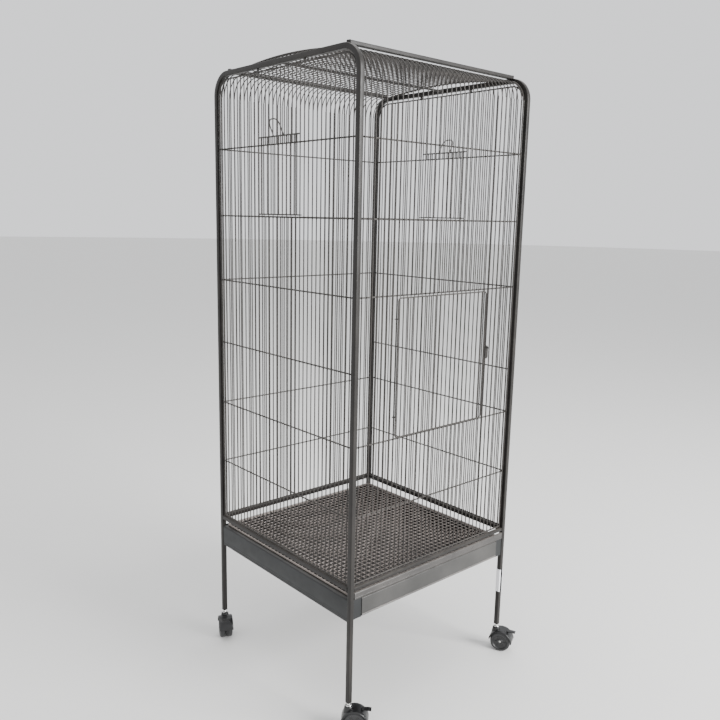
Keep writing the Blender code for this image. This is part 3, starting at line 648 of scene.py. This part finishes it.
def folded(corners, radius, steps=5):
    """A sheet's centre line through its corners, each turned by an arc of the given radius.

    The arc is the quadratic (1-t)^2 a + 2 t (1-t) corner + t^2 b between points a and b set
    back from the corner.
    """
    corners = np.asarray(corners, float)
    line = [corners[:1]]
    share = np.linspace(0, 1, steps)[:, None]
    for before, here, after in zip(corners, corners[1:], corners[2:]):
        a = here + (before - here) * min(0.5, radius / np.linalg.norm(before - here))
        b = here + (after - here) * min(0.5, radius / np.linalg.norm(after - here))
        line.append((1 - share) ** 2 * a + 2 * share * (1 - share) * here + share**2 * b)
    line.append(corners[-1:])
    return np.concatenate(line)


def sheet_outline(line, thickness=sheet):
    """Both faces of a bent sheet: the line moved half a thickness each way along its normal."""
    ahead = np.gradient(line, axis=0)
    ahead /= np.linalg.norm(ahead, axis=1, keepdims=True)
    normal = np.column_stack([-ahead[:, 1], ahead[:, 0]]) * thickness / 2
    return np.concatenate([line + normal, (line - normal)[::-1]])


half_sheet = sheet / 2
for side, word in ((-1, "left"), (1, "right")):
    outer = post + tube / 2 - sheet - half_sheet
    turns = [
        (outer + half_sheet - ledge_width, skirt_top - half_sheet),
        (outer, skirt_top - half_sheet),
        (outer, runner_top - half_sheet),
        (outer + half_sheet - runner_width, runner_top - half_sheet),
    ]
    line = sheet_outline(folded(turns, 0.0022))
    path = [[0, clear - butt, 0], [0, 0, 0], [0, -clear + butt, 0]]
    channel = carry(path, line * [side, 1], (1, 0, 0))
    if side < 0:
        channel = (channel[0], channel[1][:, ::-1], channel[2][:, ::-1])
    hem_height = skirt_foot + half_sheet
    lip = [(outer, runner_top), (outer, hem_height), (outer - hem_width, hem_height)]
    hem = carry(path, sheet_outline(folded(lip, 0.0012)) * [side, 1], (1, 0, 0))
    if side < 0:
        hem = (hem[0], hem[1][:, ::-1], hem[2][:, ::-1])
    front = -post - tube / 2 + sheet + half_sheet
    plate_middle = (side * (clear - butt - plate_width / 2), front, (skirt_top + runner_top - sheet) / 2)
    plate_outline = round_box(plate_width, skirt_top - runner_top + sheet, 0.0008, 3)
    plate = flat_plate(plate_outline, sheet, plate_middle, (1, 0, 0), (0, 0, 1))
    piece(f"{word}_channel", [channel, hem, plate], sheet_coat, "cage", [f"{word}_skirt"], 40)

outer = post + tube / 2 - sheet - half_sheet
turns = [
    (outer - 0.0040, skirt_top - half_sheet),
    (outer, skirt_top - half_sheet),
    (outer, skirt_foot + half_sheet),
    (outer - hem_width, skirt_foot + half_sheet),
]
strip = carry(
    [[-clear + butt, 0, 0], [0, 0, 0], [clear - butt, 0, 0]],
    sheet_outline(folded(turns, 0.0018)),
    (0, 1, 0),
)
piece("rear_strip", [strip], sheet_coat, "cage", ["rear_skirt"], 40)

for word in ("left", "right"):
    node = f"{word}_front_bracket"
    low_corner, high_corner = (np.array(v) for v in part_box(node))
    size = high_corner - low_corner
    centre = (low_corner + high_corner) / 2
    block = flat_plate(round_box(size[0], size[2], 0.0008, 3), size[1], centre, (1, 0, 0), (0, 0, 1))
    piece(f"{word}_corner_block", [block], charcoal, "cage", [node])


# The floor grate. A rod frame carries a welded mesh of fine square cells, and the folded
# rail at its front, with two ribs along it, is what the keeper pulls.

grate_rod = 0.0020
grate_wire = 0.00095
grate_height = skirt_top + butt + grate_rod
grate_reach = clear - 0.001
grate_side = grate_reach - grate_rod
grate_front = -post - tube / 2
grate_rear = clear - 2 * grate_rod
grate_cell = pitch
rail_depth = 0.004
grate_bite = 0.0001
grate_sag = 0.0004
# The grate's light brownish-grey tones are painted highlight: they stand in for the light its wires catch.
grate_painted_highlight = coated("grate_painted_highlight", (0.110, 0.092, 0.084), (0.24, 0.205, 0.188), (0.34, 0.30, 0.27), 0.34, 0.5)

mesh_low = grate_front + rail_depth
depth = grate_rear - grate_front - rail_depth
loop = round_box(2 * grate_side, depth, 0.004, 5)
grate_middle = (mesh_low + grate_rear) / 2
border = np.column_stack([loop[:, 0], loop[:, 1] + grate_middle, np.full(len(loop), grate_height)])
across_count = int(grate_side / grate_cell)
along_places = np.arange(-across_count, across_count + 1) * grate_cell
row_places = np.arange(mesh_low + grate_cell * 0.5, grate_rear, grate_cell)
ripple = np.linspace(0, 1, 9)
long_runs = np.empty((len(along_places), 9, 3))
long_runs[:, :, 0] = along_places[:, None]
long_runs[:, :, 1] = mesh_low + (grate_rear - mesh_low) * ripple
long_runs[:, :, 2] = grate_height + grate_wire - grate_bite - grate_sag * np.sin(np.pi * ripple)
row_runs = np.empty((len(row_places), 9, 3))
row_runs[:, :, 0] = grate_side * (2 * ripple - 1)
row_runs[:, :, 1] = row_places[:, None]
row_runs[:, :, 2] = grate_height - grate_wire + grate_bite - grate_sag * np.sin(np.pi * ripple)
shapes = [
    carry(border, circle(grate_rod, 12), (0, 0, 1), ring=True),
    carry(long_runs, circle(grate_wire, 8), (1, 0, 0)),
    carry(row_runs, circle(grate_wire, 8), (0, 1, 0)),
]
piece("mesh_grate", shapes, grate_painted_highlight, "floor_grate", ["floor_grate"], 40)

rail_face = grate_front + 0.00075
rail_foot = skirt_top + 0.00075
rail_head = rail_height - 0.0078
rail_rib = 0.0011
rail_turns = [
    (grate_front + 0.0040, rail_foot),
    (rail_face, rail_foot),
    (rail_face, rail_head),
    (grate_front + 0.0034, rail_head),
]
rail_line = sheet_outline(folded(rail_turns, 0.0012, 5), 0.0015)
rail_run = np.array([[-grate_reach, 0, 0], [0, 0, 0], [grate_reach, 0, 0]])
shapes = [carry(rail_run, rail_line, (0, 1, 0))]
for height in (rail_foot + 0.0030, rail_head - 0.0016):
    shapes.append(carry(rail_run + [0, rail_face, height], circle(rail_rib, 12), (0, 1, 0)))
# The rail's tones, lighter than the frames' coat, are painted light on its front face, which faces the light.
rail_coat = coated("rail_coat", (0.030, 0.028, 0.027), (0.065, 0.060, 0.056), (0.20, 0.18, 0.16), 0.30, 0.5)
piece("grate_rail", shapes, rail_coat, "floor_grate", ["floor_grate"], 40)


# The tray. A shallow pan of coated sheet slides on the runners, and its front panel, rolled
# along the lower edge with a row of small pressed dimples, closes the gap below the grate.

tray_half = clear - 0.020 - 0.0006
tray_low = runner_top + butt
tray_rim = skirt_top - 0.007
tray_top = skirt_top - sheet
lip_radius = 0.0020
dimple_radius = 0.0011
# The pan's near-black tones are painted shade: the pan is darkened for the shade that falls under the grate.
tray_pan_painted_shade = coated(
    "tray_pan_painted_shade", (0.005, 0.0045, 0.0042), (0.013, 0.0118, 0.0110), (0.04, 0.035, 0.032), 0.42, 0.25
)


def pan(half_x, low_y, high_y, foot, rim, corner, thickness):
    """An open pan: rounded rings from the middle of the floor out, up the wall and back inside.

    Ring k is the outline of a rounded box shrunk by inset k and raised to height k.
    """
    rounded = 0.0022
    t = np.radians(np.linspace(0, 90, 5))
    outside = [(corner + 0.001, 0.0)]
    outside += [(rounded - rounded * math.sin(a), rounded - rounded * math.cos(a)) for a in t]
    outside += [(0.0, rim - foot), (thickness, rim - foot)]
    inside = [
        (thickness + rounded - rounded * math.sin(a), thickness + rounded - rounded * math.cos(a))
        for a in t[::-1]
    ]
    inside += [(thickness + corner + 0.001, thickness)]
    rings = []
    for inset, rise in outside + inside:
        box = round_box(2 * (half_x - inset), high_y - low_y - 2 * inset, max(corner - inset, 0.0008), 5)
        level = np.full(len(box), foot + rise)
        rings.append(np.column_stack([box[:, 0], box[:, 1] + (low_y + high_y) / 2, level]))
    return skinned(np.stack(rings))


tray_front = grate_front
panel_turns = [
    (tray_front + 0.0046, tray_top - half_sheet),
    (tray_front + half_sheet, tray_top - half_sheet),
    (tray_front + half_sheet, tray_low + 0.0042),
    (tray_front + half_sheet, tray_low + 0.0006),
    (tray_front + 0.0030, tray_low + 0.0006),
    (tray_front + 0.0030, tray_low + 0.0040),
]
panel_run = [[x, 0, 0] for x in (-tray_half, 0, tray_half)]
panel = carry(panel_run, sheet_outline(folded(panel_turns, 0.0014)), (0, 1, 0))
lip_run = [[x, tray_front + 0.0006, tray_low + 0.0022] for x in (-tray_half, 0, tray_half)]
lip = carry(lip_run, circle(lip_radius, 12), (0, 1, 0))
dimple_pitch = pitch / 2
dimples = np.arange(-31, 32) * dimple_pitch
dimple_rows = np.linspace(-1, 1, 5)
dimple_swell = dimple_radius * np.sqrt(np.clip(1.04 - dimple_rows**2, 0.0, 1.0))
dimple_ring = circle(1.0, 6)
spots = np.empty((len(dimples), 5, 6, 3))
spots[..., 0] = dimples[:, None, None] + dimple_swell[:, None] * dimple_ring[:, 0]
spots[..., 1] = tray_front - 0.0010 + 0.7 * dimple_swell[:, None] * dimple_ring[:, 1]
spots[..., 2] = tray_low + 0.0030 + dimple_radius * dimple_rows[:, None]
pressed = skinned(spots)
dish = pan(tray_half - sheet, tray_front + sheet, grate_rear, tray_low, tray_rim, 0.006, sheet)
piece("litter_pan", [dish], tray_pan_painted_shade, "tray", ["tray"], 40)
# The front panel is the same sheet as the pan, given lighter tones: painted light on its lit front face.
tray_front_painted_light = coated(
    "tray_front_painted_light", (0.030, 0.0295, 0.028), (0.060, 0.058, 0.055), (0.18, 0.17, 0.16), 0.36, 0.4
)
piece("tray_front", [panel], tray_front_painted_light, "tray", ["tray"], 40)
# The hem's pale tones are painted highlight along the rolled lip and its dimples.
tray_hem_painted_highlight = coated("tray_hem_painted_highlight", (0.060, 0.057, 0.054), (0.16, 0.15, 0.14), (0.30, 0.28, 0.26), 0.30, 0.5)
piece("tray_hem", [lip, pressed], tray_hem_painted_highlight, "tray", ["tray"], 40)


# The maker's blank paper label, wrapped once round the front right leg and lapped at its end.

label_top = rail_height - 0.100
label_low = label_top - 0.055
label_outside = tube + 0.0010
paper = bpy.data.materials.new("white_paper")
paper.use_nodes = True
tree = paper.node_tree
shader = tree.nodes["Principled BSDF"]
shader.inputs["Specular IOR Level"].default_value = 0.3
place = tree.nodes.new("ShaderNodeTexCoord")
fibre = tree.nodes.new("ShaderNodeTexNoise")
fibre.inputs["Scale"].default_value = 700.0
fibre.inputs["Detail"].default_value = 4.0
crumple = tree.nodes.new("ShaderNodeTexNoise")
crumple.inputs["Scale"].default_value = 90.0
tint = tree.nodes.new("ShaderNodeMix")
tint.data_type = "RGBA"
tint.inputs[6].default_value = (0.80, 0.80, 0.82, 1)
tint.inputs[7].default_value = (0.92, 0.92, 0.94, 1)
matt = tree.nodes.new("ShaderNodeMapRange")
matt.inputs["To Min"].default_value = 0.55
matt.inputs["To Max"].default_value = 0.80
relief = tree.nodes.new("ShaderNodeBump")
relief.inputs["Strength"].default_value = 0.35
relief.inputs["Distance"].default_value = 0.0003
link(tree, place, "Object", fibre, "Vector")
link(tree, place, "Object", crumple, "Vector")
tree.links.new(fibre.outputs["Fac"], tint.inputs[0])
tree.links.new(tint.outputs[2], shader.inputs["Base Color"])
link(tree, fibre, "Fac", matt, "Value")
link(tree, matt, "Result", shader, "Roughness")
link(tree, crumple, "Fac", relief, "Height")
link(tree, relief, "Normal", shader, "Normal")

wrap_height = np.linspace(label_low, label_top, 9)
wrap = np.column_stack([np.full(9, post), np.full(9, -post), wrap_height])
wrapped = carry(wrap, round_box(label_outside, label_outside, 0.0018, 4), (1, 0, 0))
lap = wrap + [0.0012, -0.0053, 0]
lapped = carry(lap, round_box(0.0072, 0.0004, 0.00015, 1), (1, 0, 0))
piece("paper_label", [wrapped, lapped], paper, "cage", ["leg_label"])


# The casters. Each is a black moulded hood that trails behind a bright steel stem, with a
# pair of plastic wheels on one axle. The front pair have a foot brake over the rear edge.

wheel_radius = 0.0235
wheel_width = 0.012
wheel_gap = 0.0050
axle_radius = 0.0030
trail = 0.013
hood_inner = wheel_radius + 0.0016
hood_wall = 0.0024
hood_half = wheel_gap / 2 + wheel_width + 0.0016
hood_top = 0.0545
running_gap = 0.0003
brake_thick = 0.0024
brake_slope = math.radians(58)
brake_reach = 0.0168
barrel_half = 0.0060
headings = {"front_left": -45.0, "front_right": -65.0, "rear_left": -115.0, "rear_right": 65.0}


def turned(profile, loop=False, steps=40):
    """Turns a profile of (radius, height) about the Z axis: (r cos t, r sin t, h)."""
    profile = np.asarray(profile, float)
    t = np.linspace(0, 2 * np.pi, steps, endpoint=False)
    points = np.empty((len(profile), steps, 3))
    points[:, :, 0] = profile[:, :1] * np.cos(t)
    points[:, :, 1] = profile[:, :1] * np.sin(t)
    points[:, :, 2] = profile[:, 1:]
    return skinned(points, loop)


def placed(shape, matrix):
    """The shape with its points turned and moved by a 4 x 4 matrix."""
    points, quads, caps = shape
    matrix = np.asarray(matrix, float)
    return points @ matrix[:3, :3].T + matrix[:3, 3], quads, caps


def moulded(name, deep, pale, roughness, scale=800.0):
    """Moulded plastic: a fine spark-eroded grain, patchy handling sheen and close tones."""
    material = bpy.data.materials.new(name)
    material.use_nodes = True
    tree = material.node_tree
    shader = tree.nodes["Principled BSDF"]
    place = tree.nodes.new("ShaderNodeTexCoord")
    grain = tree.nodes.new("ShaderNodeTexNoise")
    grain.inputs["Scale"].default_value = scale
    grain.inputs["Detail"].default_value = 3.0
    scuff = tree.nodes.new("ShaderNodeTexNoise")
    scuff.inputs["Scale"].default_value = 70.0
    scuff.inputs["Detail"].default_value = 6.0
    tone = tree.nodes.new("ShaderNodeMix")
    tone.data_type = "RGBA"
    tone.inputs[6].default_value = (*deep, 1)
    tone.inputs[7].default_value = (*pale, 1)
    sheen = tree.nodes.new("ShaderNodeMapRange")
    sheen.inputs["From Min"].default_value = 0.3
    sheen.inputs["From Max"].default_value = 0.7
    sheen.inputs["To Min"].default_value = roughness - 0.08
    sheen.inputs["To Max"].default_value = roughness + 0.12
    bump = tree.nodes.new("ShaderNodeBump")
    bump.inputs["Strength"].default_value = 0.25
    bump.inputs["Distance"].default_value = 0.0001
    link(tree, place, "Object", grain, "Vector")
    link(tree, place, "Object", scuff, "Vector")
    tree.links.new(scuff.outputs["Fac"], tone.inputs[0])
    tree.links.new(tone.outputs[2], shader.inputs["Base Color"])
    link(tree, scuff, "Fac", sheen, "Value")
    link(tree, sheen, "Result", shader, "Roughness")
    link(tree, grain, "Fac", bump, "Height")
    link(tree, bump, "Normal", shader, "Normal")
    return material


def bright(name, colour, roughness):
    """Plated steel with fine polishing marks that run round it."""
    material = bpy.data.materials.new(name)
    material.use_nodes = True
    tree = material.node_tree
    shader = tree.nodes["Principled BSDF"]
    shader.inputs["Metallic"].default_value = 1.0
    place = tree.nodes.new("ShaderNodeTexCoord")
    stretch = tree.nodes.new("ShaderNodeMapping")
    stretch.inputs["Scale"].default_value = (60.0, 60.0, 2400.0)
    marks = tree.nodes.new("ShaderNodeTexNoise")
    marks.inputs["Scale"].default_value = 1.0
    marks.inputs["Detail"].default_value = 4.0
    tone = tree.nodes.new("ShaderNodeMix")
    tone.data_type = "RGBA"
    tone.inputs[6].default_value = (*[0.8 * c for c in colour], 1)
    tone.inputs[7].default_value = (*colour, 1)
    sheen = tree.nodes.new("ShaderNodeMapRange")
    sheen.inputs["To Min"].default_value = roughness - 0.06
    sheen.inputs["To Max"].default_value = roughness + 0.10
    link(tree, place, "Object", stretch, "Vector")
    link(tree, stretch, "Vector", marks, "Vector")
    tree.links.new(marks.outputs["Fac"], tone.inputs[0])
    tree.links.new(tone.outputs[2], shader.inputs["Base Color"])
    link(tree, marks, "Fac", sheen, "Value")
    link(tree, sheen, "Result", shader, "Roughness")
    return material


hood_plastic = moulded("hood_plastic", (0.0035, 0.0035, 0.0038), (0.009, 0.009, 0.0095), 0.30)
wheel_plastic = moulded("wheel_plastic", (0.012, 0.012, 0.0125), (0.028, 0.028, 0.029), 0.38)
stem_chrome = bright("stem_chrome", (0.80, 0.80, 0.78), 0.16)
axle_steel = bright("axle_steel", (0.60, 0.60, 0.58), 0.28)

side_on = Matrix.Rotation(math.radians(-90), 4, "X")
half_wall = hood_wall / 2
lip_rise = 0.0020
lip_wall = 0.0012
guard_outline = np.array(
    [
        (-hood_half, lip_rise),
        (-hood_half, 0.0),
        (-hood_half + 0.0007, -0.0008),
        (-hood_half + 0.0024, -half_wall),
        (-hood_half / 2, -half_wall),
        (hood_half / 2, -half_wall),
        (hood_half - 0.0024, -half_wall),
        (hood_half - 0.0007, -0.0008),
        (hood_half, 0.0),
        (hood_half, lip_rise),
        (hood_half - lip_wall, lip_rise),
        (hood_half - 0.0020, half_wall),
        (0.0, half_wall),
        (-hood_half + 0.0020, half_wall),
        (-hood_half + lip_wall, lip_rise),
    ]
)[::-1]

for corner_name, heading in headings.items():
    x = -post if corner_name.endswith("left") else post
    y = -post if corner_name.startswith("front") else post
    stand_here = Matrix.Translation((x, y, 0)) @ Matrix.Rotation(math.radians(heading), 4, "Z")
    body = f"caster_{corner_name}"
    curve = arc((trail, wheel_radius), hood_inner + half_wall, 8, 172, 36)
    curve = np.column_stack([curve[:, 0], np.zeros(len(curve)), curve[:, 1]])
    guard = carry(curve, guard_outline, (0, 1, 0))
    web = arc((trail, wheel_radius), hood_inner + 0.0006, -20, 200, 40)
    web = flat_plate(web, wheel_gap - 0.0012, (0, 0, 0), (1, 0, 0), (0, 0, 1))
    neck_profile = [
        (0.0105, wheel_radius * 1.62),
        (0.0102, wheel_radius * 1.85),
        (0.0092, hood_top - 0.0060),
        (0.0084, hood_top - 0.0024),
        (0.0080, hood_top - 0.0008),
        (0.0072, hood_top),
        (0.0030, hood_top),
    ]
    neck = turned(neck_profile, steps=32)
    hood = [placed(shape, stand_here) for shape in (guard, web, neck)]
    node = f"caster_hood_{corner_name}"
    piece(f"hood_{corner_name}", hood, hood_plastic, body, [node], 45)

    stem_profile = [
        (0.0030, hood_top + running_gap),
        (0.0062, hood_top + running_gap),
        (0.0065, hood_top + 0.0008),
        (0.0065, hood_top + 0.0022),
        (0.0060, hood_top + 0.0028),
        (0.0042, hood_top + 0.0032),
        (0.0038, hood_top + 0.0040),
        (0.0038, leg_foot - running_gap),
        (0.0010, leg_foot - running_gap),
    ]
    stem = placed(turned(stem_profile, steps=28), stand_here)
    piece(f"stem_{corner_name}", [stem], stem_chrome, body, [f"caster_stem_{corner_name}"])

    axle_half = wheel_gap / 2 + wheel_width * 0.8
    axle_place = stand_here @ Matrix.Translation((trail, 0, wheel_radius)) @ side_on
    axle_profile = [
        (0.0012, -axle_half),
        (axle_radius - 0.0005, -axle_half),
        (axle_radius, -axle_half + 0.0006),
        (axle_radius, axle_half - 0.0006),
        (axle_radius - 0.0005, axle_half),
        (0.0012, axle_half),
    ]
    axle = placed(turned(axle_profile, steps=24), axle_place)
    piece(f"axle_{corner_name}", [axle], axle_steel, body, [f"caster_axle_{corner_name}"])

    half = wheel_width / 2
    for side, word in ((-1, "right"), (1, "left")):
        bore = axle_radius + running_gap
        wheel_profile = [
            (bore, -half),
            (wheel_radius - 0.0012, -half),
            (wheel_radius - 0.0003, -half + 0.0008),
            (wheel_radius, -half + 0.0030),
            (wheel_radius, half - 0.0040),
            (wheel_radius - 0.0006, half - 0.0018),
            (wheel_radius - 0.0020, half - 0.0005),
            (wheel_radius - 0.0040, half),
            (wheel_radius - 0.0058, half),
            (wheel_radius - 0.0064, half - 0.0008),
            (wheel_radius - 0.0074, half - 0.0022),
            (0.0086, half - 0.0028),
            (0.0076, half - 0.0022),
            (0.0070, half - 0.0006),
            (0.0062, half - 0.0002),
            (0.0042, half - 0.0004),
            (bore, half - 0.0012),
        ]
        outward = Matrix.Rotation(math.radians(-90 * side), 4, "X")
        hub = Matrix.Translation((trail, side * (wheel_gap / 2 + half), wheel_radius)) @ outward
        disc = turned(wheel_profile, loop=True, steps=56)
        ribs = []
        for turn in np.radians(np.arange(0, 360, 60)):
            toward = np.array([math.cos(turn), math.sin(turn), 0])
            lift = np.array([0, 0, half - 0.0022])
            spoke = [toward * r + lift for r in (0.0070, 0.0115, 0.0165)]
            ribs.append(carry(spoke, round_box(0.0014, 0.0022, 0.0005, 2), (-toward[1], toward[0], 0)))
        wheel = [placed(shape, stand_here @ hub) for shape in [disc, *ribs]]
        name = f"wheel_{word}_{corner_name}"
        piece(name, wheel, wheel_plastic, name, [f"caster_wheel_{word}_{corner_name}"], 45)

    if corner_name.startswith("front"):
        lift = hood_inner + hood_wall + brake_thick * 0.8 + running_gap
        lever_x = trail + lift * math.cos(brake_slope)
        lever_z = wheel_radius + lift * math.sin(brake_slope)
        share = np.linspace(0, 1, 12)
        pad_height = lever_z + 0.0006 * np.sin(np.pi * share)
        pad = np.column_stack([lever_x + brake_reach * share, np.zeros(12), pad_height])
        tread = carry(pad, round_box(0.0116, 0.0022, 0.0009, 4), (0, 1, 0))
        ridges = []
        for reach in (0.0085, 0.0110, 0.0135):
            across = [[lever_x + reach, s, lever_z + 0.0012] for s in (-0.0042, 0.0, 0.0042)]
            ridges.append(carry(across, circle(0.0005, 8), (1, 0, 0)))
        barrel_run = [[lever_x, s, lever_z] for s in (-barrel_half, 0, barrel_half)]
        barrel = carry(barrel_run, circle(0.0019, 16), (1, 0, 0))
        lever = [placed(shape, stand_here) for shape in [tread, barrel, *ridges]]
        name = f"brake_{corner_name}"
        piece(name, lever, hood_plastic, name, [f"caster_brake_{corner_name}"])


# The floor, the soft studio light and the camera.

pale = bpy.data.materials.new("pale_floor")
pale.use_nodes = True
shader = pale.node_tree.nodes["Principled BSDF"]
shader.inputs["Base Color"].default_value = (0.74, 0.735, 0.72, 1)
shader.inputs["Roughness"].default_value = 0.55
shader.inputs["Specular IOR Level"].default_value = 0.25
ground = bpy.data.meshes.new("floor")
rim = np.column_stack([circle(30.0, 96), np.full(96, -0.0002)])
ground.from_pydata(rim.tolist(), [], [list(range(96))])
ground.materials.append(pale)
floor = bpy.data.objects.new("floor", ground)
bpy.context.scene.collection.objects.link(floor)

world = bpy.data.worlds.new("studio")
world.use_nodes = True
sky = world.node_tree.nodes["Background"]
sky.inputs["Color"].default_value = (0.97, 0.98, 1.0, 1)
sky.inputs["Strength"].default_value = 1.25
bpy.context.scene.world = world


def soft_light(name, place, target, width, power):
    """A square soft box at a place, turned to face a target."""
    lamp = bpy.data.lights.new(name, "AREA")
    lamp.size = width
    lamp.energy = power
    made = bpy.data.objects.new(name, lamp)
    place = np.asarray(place, float)
    towards = Matrix.Translation(place).to_translation() - Matrix.Translation(target).to_translation()
    made.matrix_world = Matrix.Translation(place) @ towards.to_track_quat("Z", "Y").to_matrix().to_4x4()
    bpy.context.scene.collection.objects.link(made)


soft_light("key", (1.3, -3.4, 1.9), (0, 0, 0.7), 1.8, 300)
soft_light("fill", (-3.0, -0.6, 2.0), (0, 0, 0.7), 2.0, 14)
soft_light("top", (0.2, 0.2, 3.6), (0, 0, 0.6), 2.4, 40)

camera_place = (-1.10835, -1.23261, 1.00359)
bearing = math.radians(48.4065)
tilt = math.radians(-10.8023)
roll = math.radians(1.1769)
ahead = np.array([math.cos(tilt) * math.cos(bearing), math.cos(tilt) * math.sin(bearing), math.sin(tilt)])
level_right = np.cross(ahead, [0, 0, 1])
level_right /= np.linalg.norm(level_right)
level_up = np.cross(level_right, ahead)
right = math.cos(roll) * level_right + math.sin(roll) * level_up
up = -math.sin(roll) * level_right + math.cos(roll) * level_up
pose = np.eye(4)
pose[:3, 0] = right
pose[:3, 1] = up
pose[:3, 2] = -ahead
pose[:3, 3] = camera_place
lens = bpy.data.cameras.new("camera")
lens.lens = 37.596
lens.sensor_width = 36.0
lens.clip_start = 0.02
camera = bpy.data.objects.new("camera", lens)
camera.matrix_world = Matrix(pose.tolist())
bpy.context.scene.collection.objects.link(camera)
bpy.context.scene.camera = camera
